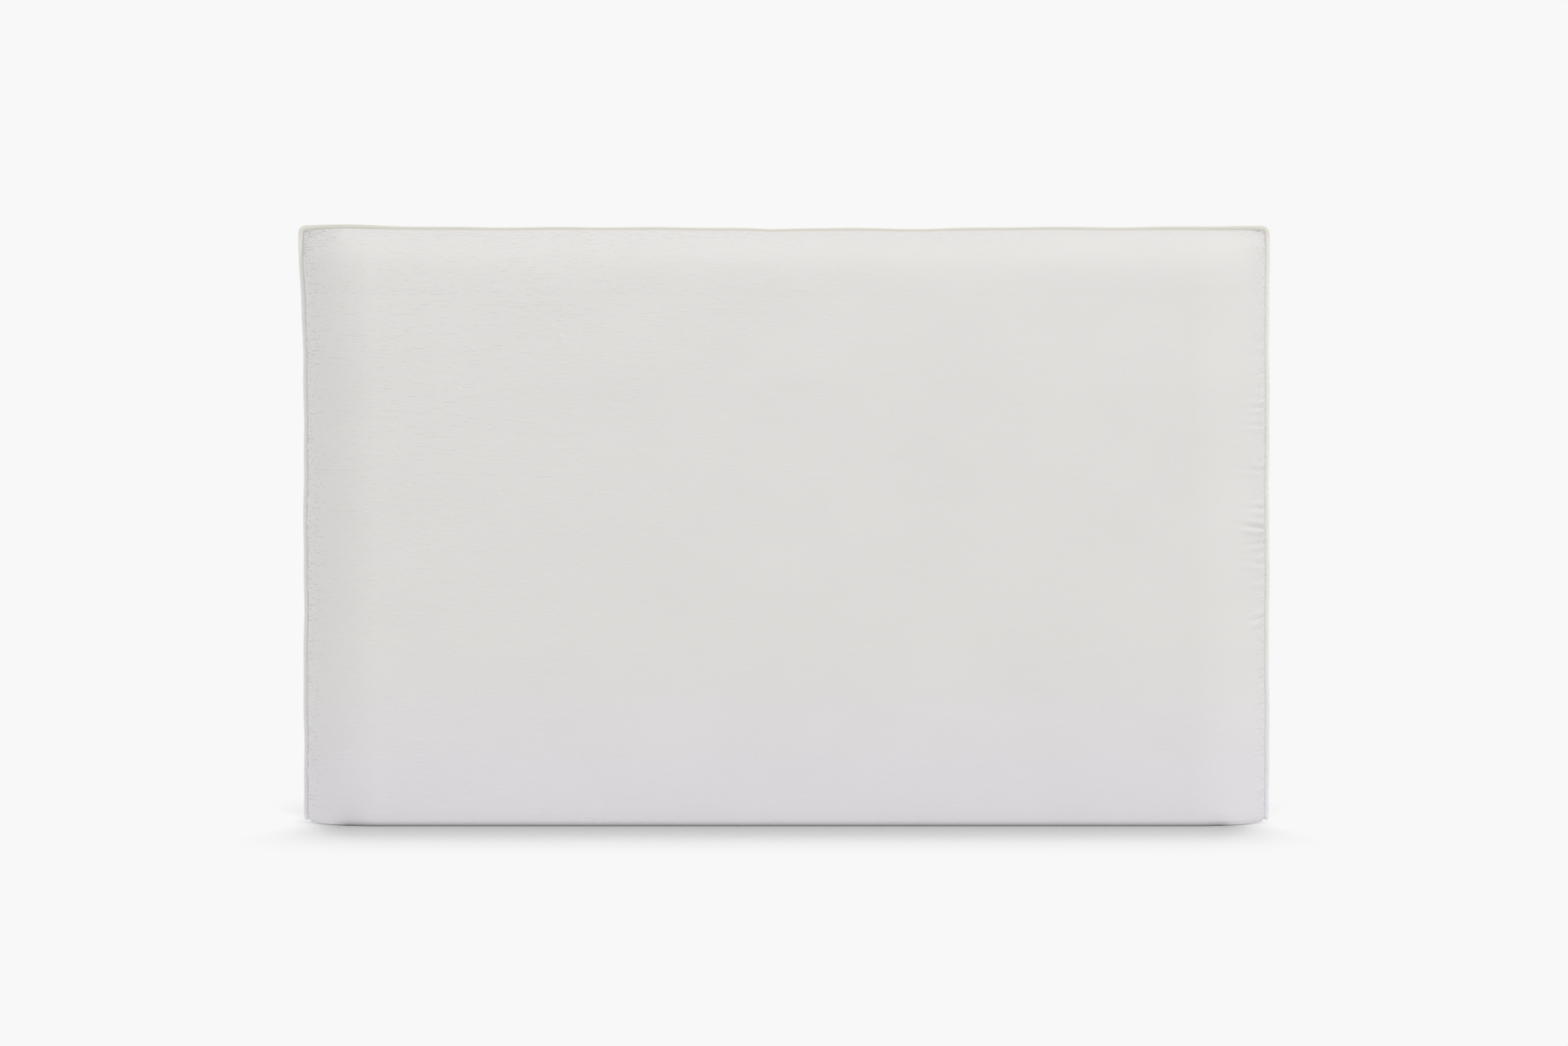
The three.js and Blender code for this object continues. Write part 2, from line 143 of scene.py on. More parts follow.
# ---------------------------------------------------------------- where the seams run
# Each sag of the top seam: its middle along X, its half width and its depth.
TOP_SAGS = [
    (-205 * MM, 50 * MM, 0.7 * MM),
    (-9 * MM, 10 * MM, 1.0 * MM),
    (20 * MM, 120 * MM, 1.4 * MM),
    (95 * MM, 25 * MM, 0.8 * MM),
    (235 * MM, 30 * MM, 0.6 * MM),
]
TOP_DROP = 1.0 * MM
SAG_START = 150 * MM  # height above which the cloth follows the top seam's sags
LEFT_DRAW = 3.4 * MM  # how far the left side is drawn in below its ear
EAR_HEIGHT = 8 * MM  # below the top seam, where the drawing in starts
DRAW_REACH = 85 * MM  # height over which it grows


def side_draw(z, side):
    """How far a side seam lies inside the frame's seam line at height z."""
    depth = np.where(side < 0, LEFT_DRAW, 0.0)
    below_ear = smooth((SEAM_TOP - EAR_HEIGHT - z) / DRAW_REACH)
    corner = CORNER_PULL * (1 - rise(z / CORNER_RISE))
    waver = 0.25 * MM * np.sin(z / (17 * MM) + side) + 0.15 * MM * np.sin(z / (7 * MM))
    return depth * below_ear + corner + waver * smooth(z / (30 * MM))


def top_drop(x):
    """How far the top seam lies below the frame's seam line at x."""
    drop = sum(depth * bell((x - middle) / width) for middle, width, depth in TOP_SAGS)
    ear = 1 - bell((x + SEAM_HALF - 25 * MM) / (25 * MM))
    return drop + TOP_DROP * ear + 0.2 * MM * np.sin(x / (11 * MM))


# ---------------------------------------------------------------- mesh helpers
def new_object(name, verts, faces):
    mesh = bpy.data.meshes.new(name)
    mesh.from_pydata([tuple(v) for v in verts], [], [tuple(f) for f in faces])
    mesh.polygons.foreach_set("use_smooth", [True] * len(mesh.polygons))
    mesh.update()
    made = bpy.data.objects.new(name, mesh)
    bpy.context.scene.collection.objects.link(made)
    return made


def grid_faces(rows, columns, flip=False):
    """Quads of a grid whose vertices run along each row in turn."""
    row, column = np.mgrid[0 : rows - 1, 0 : columns - 1]
    first = (row * columns + column).ravel()
    quads = np.stack([first, first + 1, first + columns + 1, first + columns], axis=1)
    return quads[:, ::-1] if flip else quads


def points_of(made):
    flat = np.empty(len(made.data.vertices) * 3)
    made.data.vertices.foreach_get("co", flat)
    return flat.reshape(-1, 3)


def normals_of(made):
    flat = np.empty(len(made.data.vertices) * 3)
    made.data.vertex_normals.foreach_get("vector", flat)
    return flat.reshape(-1, 3)


def set_points(made, points):
    made.data.vertices.foreach_set("co", np.asarray(points, float).ravel())
    made.data.update()


def store_vector(made, name, values):
    attribute = made.data.attributes.new(name, "FLOAT_VECTOR", "POINT")
    attribute.data.foreach_set("vector", np.asarray(values, float).ravel())


def read_vector(made, name):
    flat = np.empty(len(made.data.vertices) * 3)
    made.data.attributes[name].data.foreach_get("vector", flat)
    return flat.reshape(-1, 3)


def apply_modifiers(made):
    depsgraph = bpy.context.evaluated_depsgraph_get()
    baked = bpy.data.meshes.new_from_object(made.evaluated_get(depsgraph))
    made.modifiers.clear()
    made.data = baked


def add_modifier(made, kind, **settings):
    modifier = made.modifiers.new(kind.lower(), kind)
    for key, value in settings.items():
        setattr(modifier, key, value)
    return modifier


def subdivide(made):
    add_modifier(made, "SUBSURF", levels=1, render_levels=1)
    apply_modifiers(made)


# ---------------------------------------------------------------- the pillow's form
SIDE_STEPS = 24
FLAT_STEPS = 64
FACE_STEPS = 138
TOP_STEPS = 30
FOOT_STEPS = 7
SOLE_STEPS = 8


def column_places(layer):
    """For each column: distance in from its seam, its side and its share of full depth."""
    steps = SIDE_STEPS // layer.coarse
    turn = np.linspace(0, math.pi / 2, steps + 1)
    inset = SEAM_LIP + (SIDE_REACH - SEAM_LIP) * (1 - np.cos(turn))
    inset = np.concatenate([[0.0, SEAM_LIP / 2], inset])
    half = SEAM_HALF - layer.margin
    flat_half = half - SIDE_REACH
    across = np.linspace(-flat_half, flat_half, FLAT_STEPS // layer.coarse + 1)[1:-1]
    inset = np.concatenate([inset, half - np.abs(across), inset[::-1]])
    side = np.concatenate([-np.ones(steps + 3), np.sign(across), np.ones(steps + 3)])
    return inset, side, rise((inset - SEAM_LIP) / (SIDE_REACH - SEAM_LIP))


def bottom_rows(layer):
    """Depth, height and 1 for each row over the zip, from the middle plane outwards."""
    top = layer.groove
    if not layer.hemmed:
        return [(y, top, 1.0) for y in (SEAM_EDGE, LEDGE / 3, 2 * LEDGE / 3, LEDGE)]
    turned = top + HEM_TURN
    return [
        (LEDGE - 1 * MM, turned, 1.0),
        (LEDGE - 5 * MM, turned, 1.0),
        (HEM_INNER + 0.5 * MM, turned, 1.0),
        (HEM_INNER, top + HEM_TURN / 2, 1.0),
        (HEM_INNER + 0.5 * MM, top, 1.0),
        (HEM_INNER + 3 * MM, top, 1.0),
        (LEDGE - 1 * MM, top, 1.0),
    ]


def row_places(layer):
    """A layer's run from over the zip, under the pillow and up its face to the top seam.

    Gives each row's depth from the middle plane, its height, and how much it is over the zip.
    """
    rows = bottom_rows(layer)
    face = FACE - layer.shave
    sole_start = GROOVE_FOOT + layer.shave
    for t in (0.2, 0.4, 0.6, 0.8):
        height = layer.lift + (layer.groove - layer.lift) * (1 - smooth(t))
        rows.append((LEDGE + (sole_start - LEDGE) * t, height, 1 - t))
    sole_end = face - FOOT_RADIUS
    for depth in np.linspace(sole_start, sole_end, SOLE_STEPS // layer.coarse + 1):
        rows.append((depth, layer.lift, 0.0))
    for turn in np.linspace(0, math.pi / 2, FOOT_STEPS // layer.coarse + 1)[1:]:
        height = layer.lift + FOOT_RADIUS * (1 - math.cos(turn))
        rows.append((sole_end + FOOT_RADIUS * math.sin(turn), height, 0.0))
    face_start = layer.lift + FOOT_RADIUS
    top = SEAM_TOP - layer.margin
    for height in np.linspace(face_start, top - TOP_REACH, FACE_STEPS // layer.coarse + 1)[1:]:
        rows.append((face, height, 0.0))
    power = 2 / TOP_BLUFFNESS
    for turn in np.linspace(math.pi / 2, 0, TOP_STEPS // layer.coarse + 1)[1:]:
        height = top - SEAM_LIP - (TOP_REACH - SEAM_LIP) * (1 - abs(math.cos(turn)) ** power)
        rows.append((SEAM_EDGE + (face - SEAM_EDGE) * abs(math.sin(turn)) ** power, height, 0.0))
    rows.extend([(SEAM_EDGE, top - SEAM_LIP / 2, 0.0), (SEAM_EDGE, top, 0.0)])
    rows = np.array(rows)
    leaning = smooth((rows[:, 1] - (top - TAPER_REACH)) / TAPER_REACH)
    rows[:, 0] -= TOP_TAPER * leaning * np.clip(rows[:, 0] / face, 0, 1)
    return rows


EAR_REACH = {-1: 26 * MM, 1: 14 * MM}  # size of the flat, unfilled corner at each top end
EAR_FULLNESS = 0.04
FOOT_SQUARENESS = 0.25  # below 1 brings the foot's full shape close to the side seams


def ear_share(inset, from_top, side):
    """How full the case is near a top corner, where the core's round corner leaves it empty."""
    reach = np.where(side < 0, EAR_REACH[-1], EAR_REACH[1])
    return EAR_FULLNESS + (1 - EAR_FULLNESS) * smooth(np.hypot(inset, from_top) / reach)


def round_corner(inset, from_top, radius):
    """Moves a grid's square corner so that its outline is an arc."""
    a = 1 - np.clip(inset / radius, 0, 1)
    b = 1 - np.clip(from_top / radius, 0, 1)
    near = (a > 0) & (b > 0)
    arc_inset = radius * (1 - a * np.sqrt(1 - b * b / 2))
    arc_top = radius * (1 - b * np.sqrt(1 - a * a / 2))
    return np.where(near, arc_inset, inset), np.where(near, arc_top, from_top)


def layer_points(layer):
    """The back half of a layer as a grid of points, and each one's place on the flat cloth.

    The place on the cloth is across, along, and in from the nearest sewn seam.
    """
    inset, side, share = column_places(layer)
    rows = row_places(layer)
    depth, height, over_zip = (rows[:, n][:, None] for n in range(3))
    path = lengths_along(rows[:, :2])[:, None]
    face_start = layer.lift + FOOT_RADIUS
    low = (over_zip > 0) | (height < face_start)
    low_path = path[np.count_nonzero(low)]
    seam_height = np.where(low, layer.lift + FOOT_RADIUS * path / low_path, height)
    fade = smooth(inset / GROOVE_FADE)[None, :]
    raised = layer.lift + (height - layer.lift) * np.where(over_zip > 0, fade, 1.0)
    z = seam_height + (raised - seam_height) * share[None, :] ** FOOT_SQUARENESS

    top = SEAM_TOP - layer.margin
    half = SEAM_HALF - layer.margin
    inset = np.broadcast_to(inset[None, :], z.shape)
    side = np.broadcast_to(side[None, :], z.shape)
    full = SEAM_EDGE + (depth - SEAM_EDGE) * share[None, :]
    if layer is CASE:
        full = SEAM_EDGE + (full - SEAM_EDGE) * ear_share(inset, top - z, side)
    placed, placed_top = round_corner(inset, top - z, layer.corner)
    x = side * (half - placed) * (1 - side_draw(z, side) / half)
    z = top - placed_top - top_drop(x) * smooth((z - SAG_START) / (SEAM_TOP - SAG_START))

    ledge_share = (depth - HEM_INNER) / (LEDGE - HEM_INNER)
    if layer.hemmed:
        closing = smooth((np.abs(x) - (ZIP_HALF - CLOSING_START)) / CLOSING_LENGTH)
        hem = HEM_INNER * (1 - closing) + CLOSED_GAP * closing
        ledge = np.maximum(LEDGE * share[None, :], hem + 0.5 * MM)
        full = np.where(over_zip >= 1.0, hem + (ledge - hem) * ledge_share, full)
        middle = (SEAM_TOP + FOOT_RADIUS) / 2
        swell = (1 - (x / SEAM_HALF) ** 2) * (1 - ((z - middle) / (SEAM_TOP / 2)) ** 2)
        full = full + CROWN * np.clip(swell, 0, 1) * smooth(full / FACE)

    across = lengths_along(np.stack([side[0] * (half - inset[0]), FACE * share], axis=1))
    across = np.broadcast_to((across - across[-1] / 2)[None, :], z.shape)
    along = np.broadcast_to(path, z.shape)
    from_seam = np.minimum(across[0, -1] - np.abs(across), path[-1] - along)
    cloth = np.stack([across, along, from_seam], axis=2)
    return np.stack([x, full, z], axis=2), cloth


# How the cloth turns in at a seam: outward from the seam, and depth from the middle plane.
SEAM_FOLD = [(0.25 * MM, 0.7 * MM), (-0.4 * MM, 0.34 * MM), (-6 * MM, 0.34 * MM)]


def fold_in(points, cloth):
    """Adds the seam allowance, turned in, along both sides and the top of a panel's grid."""
    left, right = points[:, :1], points[:, -1:]
    before, after = [], []
    for outward, depth in SEAM_FOLD:
        before.insert(0, left * (1, 0, 1) + (-outward, depth, 0))
        after.append(right * (1, 0, 1) + (outward, depth, 0))
    points = np.concatenate(before + [points] + after, axis=1)
    above = [points[-1:] * (1, 0, 1) + (0, depth, outward) for outward, depth in SEAM_FOLD]
    points = np.concatenate([points] + above, axis=0)
    count = len(SEAM_FOLD)
    return points, np.pad(cloth, ((0, count), (count, count), (0, 0)), mode="edge")


def seam_outline(points, offset, from_height):
    """The case's seam up the left side, over the top and down the right, moved outwards."""
    left = points[:, 0]
    right = points[::-1, -1]
    top = points[-1, 1:-1]
    line = np.concatenate([left[left[:, 2] > from_height], top, right[right[:, 2] > from_height]])
    line = line * (1, 0, 1)
    line = resample(line, 1.5 * MM)
    tangent = np.gradient(line, axis=0)
    tangent /= np.linalg.norm(tangent, axis=1)[:, None]
    outward = np.stack([-tangent[:, 2], 0 * tangent[:, 1], tangent[:, 0]], axis=1)
    return line + outward * offset


# ---------------------------------------------------------------- cloth simulation
SIM_FRAMES = 20
MOVE_CAP = 3 * MM  # most that any point of the cloth may move
PINNED_EDGE = 1.5 * MM  # in from the seam, where the cloth becomes free
FREE_WIDTH = 40 * MM  # in from the seam, where it starts to be pinned again
FREE_FADE = 50 * MM
PINNED_HEIGHT = 12 * MM  # the foot is pinned up to here
PINNED_FADE = 30 * MM
GROUP_LEVELS = 40  # steps that a vertex group's weights are rounded to


def set_group(made, name, weights):
    group = made.vertex_groups.new(name=name)
    levels = np.round(np.clip(weights, 0, 1) * GROUP_LEVELS).astype(int)
    for level in np.unique(levels):
        chosen = np.nonzero(levels == level)[0]
        group.add(chosen.tolist(), level / GROUP_LEVELS, "REPLACE")


def settle(points, cloth):
    """Lets a panel relax a little beside its seams, and gives back where its points end up."""
    from_seam = cloth[..., 2].ravel()
    height = points[..., 2].ravel()
    free = smooth(from_seam / PINNED_EDGE) * (1 - smooth((from_seam - FREE_WIDTH) / FREE_FADE))
    free = free * smooth((height - PINNED_HEIGHT) / PINNED_FADE)

    faces = grid_faces(*points.shape[:2], flip=True)
    made = new_object("settling_panel", points.reshape(-1, 3), faces)
    set_group(made, "pinned", 1 - free)
    # The shrink is 0, but without this group and its use below the cloth settles a little otherwise.
    set_group(made, "slack", free)
    modifier = add_modifier(made, "CLOTH")
    panel = modifier.settings
    panel.quality = 6
    panel.mass = 0.15
    panel.tension_stiffness = 40
    panel.compression_stiffness = 40
    panel.shear_stiffness = 5
    panel.bending_stiffness = 0.02
    panel.vertex_group_mass = "pinned"
    panel.pin_stiffness = 0.2
    panel.vertex_group_shrink = "slack"
    panel.use_pressure = True
    panel.uniform_pressure_force = 3
    panel.air_damping = 1.0
    panel.effector_weights.gravity = 0
    modifier.collision_settings.use_collision = False
    scene = bpy.context.scene
    for number in range(1, SIM_FRAMES + 1):
        scene.frame_set(number)
    apply_modifiers(made)
    scene.frame_set(1)
    moved = points_of(made).reshape(points.shape) - points
    bpy.data.objects.remove(made)
    distance = np.linalg.norm(moved, axis=2, keepdims=True)
    capped = np.tanh(distance / MOVE_CAP) * MOVE_CAP
    return points + moved * capped / np.maximum(distance, 1e-9)


# ---------------------------------------------------------------- creases beside the seams
# Each crease runs in from a side seam: side, height, length, depth, width and slope.
SIDE_CREASES = [
    (1, 200 * MM, 24 * MM, 3.2 * MM, 1.6 * MM, 0.12),
    (1, 190 * MM, 22 * MM, 1.6 * MM, 1.4 * MM, -0.10),
    (1, 213 * MM, 20 * MM, 1.4 * MM, 1.6 * MM, 0.05),
    (1, 176 * MM, 24 * MM, 1.2 * MM, 1.6 * MM, 0.10),
    (1, 139 * MM, 20 * MM, 1.1 * MM, 1.6 * MM, -0.15),
    (1, 239 * MM, 26 * MM, 1.0 * MM, 1.4 * MM, 0.05),
    (1, 269 * MM, 24 * MM, 1.2 * MM, 1.4 * MM, 0.08),
    (1, 282 * MM, 20 * MM, 1.2 * MM, 1.4 * MM, -0.05),
    (-1, 327 * MM, 20 * MM, 1.0 * MM, 1.5 * MM, 0.10),
    (-1, 37 * MM, 28 * MM, 0.9 * MM, 2.2 * MM, 0.45),
]
FINE_PUCKERS = 46


def crease_field(z, inset, side):
    """How far the creases beside the side seams push the cloth in or out."""
    rng = np.random.default_rng(11)
    fine = [
        (
            rng.choice([-1, 1]),
            rng.uniform(15, 385) * MM,
            rng.uniform(7, 17) * MM,
            rng.uniform(0.25, 0.7) * MM,
            rng.uniform(1.5, 2.4) * MM,
            rng.uniform(-0.15, 0.15),
        )
        for _ in range(FINE_PUCKERS)
    ]
    field = np.zeros(len(z))
    for which, height, length, depth, width, slope in SIDE_CREASES + fine:
        across = (z - height - slope * inset) / width
        fading = smooth(inset / (0.5 * MM)) * (1 - smooth(inset / length))
        pinch = 0.9 * bell(across + 1.6) - 0.8 * bell(across) + 0.5 * bell(across - 1.6)
        field += np.where(side == which, depth * pinch * fading, 0.0)
    return np.minimum(field, 0.7 * inset)


def crease(made):
    points = points_of(made)
    from_seam = read_vector(made, "cloth")[:, 2]
    x, y, z = points.T
    field = crease_field(z, SEAM_HALF - np.abs(x), np.sign(x)) * smooth(from_seam / (3 * MM))
    set_points(made, points + normals_of(made) * field[:, None])


# ---------------------------------------------------------------- the case
def case_panel(name, front):
    points, cloth = layer_points(CASE)
    points = settle(points, cloth)
    points, cloth = fold_in(points, cloth)
    if front:
        points = points * (1, -1, 1)
    faces = grid_faces(*points.shape[:2], flip=not front)
    made = new_object(name, points.reshape(-1, 3), faces)
    store_vector(made, "cloth", cloth.reshape(-1, 3))
    subdivide(made)
    crease(made)
    return made


# ---------------------------------------------------------------- tubes, threads and cords
def tube_mesh(lines, section, reference):
    """Vertices and faces of a closed tube of one section along each line.

    A section is a list of (outward, sideways) pairs. The outward direction is square to the line
    and to the reference direction.
    """
    section = np.asarray(section, float)
    sides = len(section)
    verts, faces, places = [], [], []
    for line in lines:
        start = sum(len(block) for block in verts)
        tangent = np.gradient(line, axis=0)
        tangent /= np.linalg.norm(tangent, axis=1)[:, None]
        outward = np.cross(tangent, reference)
        outward /= np.linalg.norm(outward, axis=1)[:, None]
        sideways = np.cross(outward, tangent)
        ring = line[:, None, :] + outward[:, None, :] * section[None, :, :1]
        ring = ring + sideways[:, None, :] * section[None, :, 1:]
        verts.append(ring.reshape(-1, 3))
        around = lengths_along(np.concatenate([section, section[:1]]))[:-1]
        length = lengths_along(line)
        place = np.zeros((len(line), sides, 3))
        place[..., 0] = length[:, None]
        place[..., 1] = around[None, :]
        places.append(place.reshape(-1, 3))
        row, column = np.mgrid[0 : len(line) - 1, 0:sides]
        after = (column + 1) % sides
        first = start + row * sides
        beyond = first + sides
        quads = np.stack([first + column, beyond + column, beyond + after, first + after])
        faces.extend(quads.reshape(4, -1).T.tolist())
        last = start + (len(line) - 1) * sides
        faces.append([start + n for n in range(sides)])
        faces.append([last + n for n in range(sides)][::-1])
    return np.concatenate(verts), faces, np.concatenate(places)


def tube_object(name, lines, section, reference=(0, 1, 0)):
    verts, faces, places = tube_mesh(lines, section, reference)
    made = new_object(name, verts, faces)
    store_vector(made, "cloth", places)
    return made


def circle(radius, sides, height_share=1.0):
    turn = np.linspace(0, 2 * math.pi, sides, endpoint=False)
    return [(radius * math.cos(a), radius * height_share * math.sin(a)) for a in turn]


def piping_section():
    """The cover's round and the flat allowance sewn between the two panels."""
    turn = np.radians(np.linspace(-172, 172, 19))
    wide = PIPING_HALF_WIDE * np.sign(np.cos(turn)) * np.abs(np.cos(turn)) ** 0.75
    thick = PIPING_HALF_THICK * np.sign(np.sin(turn)) * np.abs(np.sin(turn)) ** 0.75
    arc = list(zip(wide, thick))
    inner = PIPING_HALF_WIDE + 0.2 * MM
    end = PIPING_OFFSET + 6 * MM
    return arc + [(-inner, 0.2 * MM), (-end, 0.14 * MM), (-end, -0.14 * MM), (-inner, -0.2 * MM)]


def piping_cover(outline):
    return tube_object("piping_sleeve", [outline], piping_section())


def twisted(line, strands, radius, pitch):
    """The middle lines of strands twisted about a line in the middle plane."""
    length = lengths_along(line)
    tangent = np.gradient(line, axis=0)
    tangent /= np.linalg.norm(tangent, axis=1)[:, None]
    outward = np.cross(tangent, (0, 1, 0))
    result = []
    for number in range(strands):
        turn = 2 * math.pi * (length / pitch + number / strands)
        result.append(
            line
            + outward * (radius * np.cos(turn))[:, None]
            + np.array((0, 1, 0)) * (radius * np.sin(turn))[:, None]
        )
    return result


def piping_cord(outline):
    lines = twisted(resample(outline, 1.2 * MM), 3, 0.5 * MM, 8 * MM)
    return tube_object("piping_cord_strands", lines, circle(0.5 * MM, 7))


def lock_stitches(line, depth):
    """A thread that passes from side to side through the cloth at each stitch."""
    line = resample(line, STITCH_PITCH / 6)
    length = lengths_along(line)
    weave = depth * np.sin(2 * math.pi * length / (2 * STITCH_PITCH))
    return line + np.array((0, 1, 0)) * weave[:, None]


def surface_stitches(line, bulge, lift):
    """Short separate stitches along a line, each one bowed out of the cloth."""
    count = int(lengths_along(line)[-1] / STITCH_PITCH)
    ends = resample(line, STITCH_PITCH)[: count + 1]
    lines = []
    for start, end in zip(ends[:-1], ends[1:]):
        t = np.linspace(0.04, 0.96, 6)[:, None]
        bow = (np.sin(math.pi * t) ** 0.5) * bulge - lift
        lines.append(start + (end - start) * t + bow * np.array((0, 0, -1)))
    return lines


# ---------------------------------------------------------------- the filling
def liner_panel(name, front):
    points, cloth = layer_points(LINER)
    if front:
        points = points * (1, -1, 1)
    made = new_object(name, points.reshape(-1, 3), grid_faces(*points.shape[:2], flip=not front))
    store_vector(made, "cloth", cloth.reshape(-1, 3))
    subdivide(made)
    return made


def ring_around(points):
    """The whole edge of a layer's grid, in the middle plane, starting under its middle."""
    bottom, right, top, left = points[0], points[1:, -1], points[-1, -2::-1], points[-2:0:-1, 0]
    middle = len(bottom) // 2
    ring = np.concatenate([bottom[middle:], right, top, left, bottom[:middle]])
    return ring * (1, 0, 1)


VENT_PITCH = 60 * MM
VENT_LOWEST = 85 * MM
VENT_RADIUS = 3 * MM
VENT_COLUMNS = 9
VENT_ROWS = 5


def vent_rods():
    """Rods right through the core, one for each vent."""
    lines = []
    for column in range(VENT_COLUMNS):
        for row in range(VENT_ROWS):
            x = (column - (VENT_COLUMNS - 1) / 2) * VENT_PITCH
            z = VENT_LOWEST + row * VENT_PITCH
            lines.append(np.array([(x, -2 * FACE, z), (x, 0, z), (x, 2 * FACE, z)]))
    return tube_object("vent_rods", lines, circle(VENT_RADIUS, 12), reference=(0, 0, 1))


def foam_core():
    points = layer_points(CORE)[0]
    rows, columns = points.shape[:2]
    front = points * (1, -1, 1)
    verts = np.concatenate([front.reshape(-1, 3), points.reshape(-1, 3)])
    back_faces = grid_faces(rows, columns, flip=True) + rows * columns
    faces = np.concatenate([grid_faces(rows, columns), back_faces])
    made = new_object("foam_block", verts, faces)
    shell = bmesh.new()
    shell.from_mesh(made.data)
    edge = [v for v in shell.verts if v.is_boundary]
    for vert in edge:
        vert.co.y = 0
    bmesh.ops.remove_doubles(shell, verts=edge, dist=0.01 * MM)
    shell.to_mesh(made.data)
    shell.free()
    rods = vent_rods()
    add_modifier(made, "BOOLEAN", object=rods, operation="DIFFERENCE", solver="EXACT")
    apply_modifiers(made)
    bpy.data.objects.remove(rods)
    return made


# ---------------------------------------------------------------- the zip
COIL_PITCH = 1.5 * MM
COIL_WIRE = 0.27 * MM
COIL_INNER = 0.32 * MM  # middle plane to the nearest turn
TAPE_ROWS = 8
TAPE_COLUMNS = 260
TAPE_THICKNESS = 0.45 * MM
TACK_PASSES = 34
TACK_THREAD = 0.16 * MM
TACK_BOW = 0.25 * MM  # how far each pass stands down from the cloth


def zip_tape(name, node, side):
    low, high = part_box(node)
    inner, outer = min(abs(low.y), abs(high.y)), max(abs(low.y), abs(high.y))
    across = np.linspace(inner, outer, TAPE_ROWS)
    along = np.linspace(low.x, high.x, TAPE_COLUMNS)
    x, y = np.meshgrid(along, across)
    ripple = 0.08 * MM * np.sin(x / (8 * MM) + side) + 0.05 * MM * np.sin(x / (3.1 * MM))
    z = (low.z + high.z) / 2 + ripple * smooth((y - inner) / (outer - inner))
    points = np.stack([x, side * y, z], axis=2)
    faces = grid_faces(TAPE_ROWS, TAPE_COLUMNS, flip=side > 0)
    made = new_object(name, points.reshape(-1, 3), faces)
    store_vector(made, "cloth", np.stack([x, y, 0 * z], axis=2).reshape(-1, 3))
    add_modifier(made, "SOLIDIFY", thickness=TAPE_THICKNESS, offset=0.0)
    apply_modifiers(made)
    return made


def zip_coil(name, node, side):
    """A flattened spiral of nylon, whose turns lie between those of its neighbour."""
    low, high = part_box(node)
    turns = (high.x - low.x) / COIL_PITCH
    turn = np.linspace(0, 2 * math.pi * turns, round(turns * 12) + 1)
    outer = max(abs(low.y), abs(high.y))
    wide = (outer - COIL_INNER) / 2 - COIL_WIRE
    tall = (high.z - low.z) / 2 - COIL_WIRE
    phase = math.pi / 2 * side
    x = low.x + (high.x - low.x) * turn / turn[-1]
    y = side * (COIL_INNER + outer) / 2 + wide * np.cos(turn + phase)
    z = (low.z + high.z) / 2 + tall * np.sin(turn + phase)
    line = np.stack([x, y, z], axis=1)
    return tube_object(name, [line], circle(COIL_WIRE, 6), reference=(1, 0, 0))


def bar_tack(name, node):
    """Close zigzag stitching across one end of the opening."""
    low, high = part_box(node)
    t = np.linspace(0, 1, TACK_PASSES * 6 + 1)
    swing = np.arcsin(np.sin(math.pi * TACK_PASSES * t)) / (math.pi / 2)
    x = (low.x + high.x) / 2 + swing * (high.x - low.x) / 2
    y = low.y + (high.y - low.y) * t
    z = (low.z + high.z) / 2 - TACK_BOW * (1 - swing**4)
    return tube_object(name, [np.stack([x, y, z], axis=1)], circle(TACK_THREAD, 6), (0, 0, 1))


def softened(name, node, width):
    """A copy of a CAD node with rounded edges."""
    made = bpy.data.objects.new(name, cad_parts[node].data.copy())
    bpy.context.scene.collection.objects.link(made)
    made.data.materials.clear()
    shell = bmesh.new()
    shell.from_mesh(made.data)
    bmesh.ops.remove_doubles(shell, verts=shell.verts, dist=0.001 * MM)
    bmesh.ops.dissolve_limit(
        shell, angle_limit=math.radians(2), verts=shell.verts, edges=shell.edges
    )
    shell.to_mesh(made.data)
    shell.free()
    add_modifier(made, "BEVEL", width=width, segments=3, limit_method="ANGLE")
    apply_modifiers(made)
    made.data.polygons.foreach_set("use_smooth", [True] * len(made.data.polygons))
    made.data.set_sharp_from_angle(angle=math.radians(50))
    return made


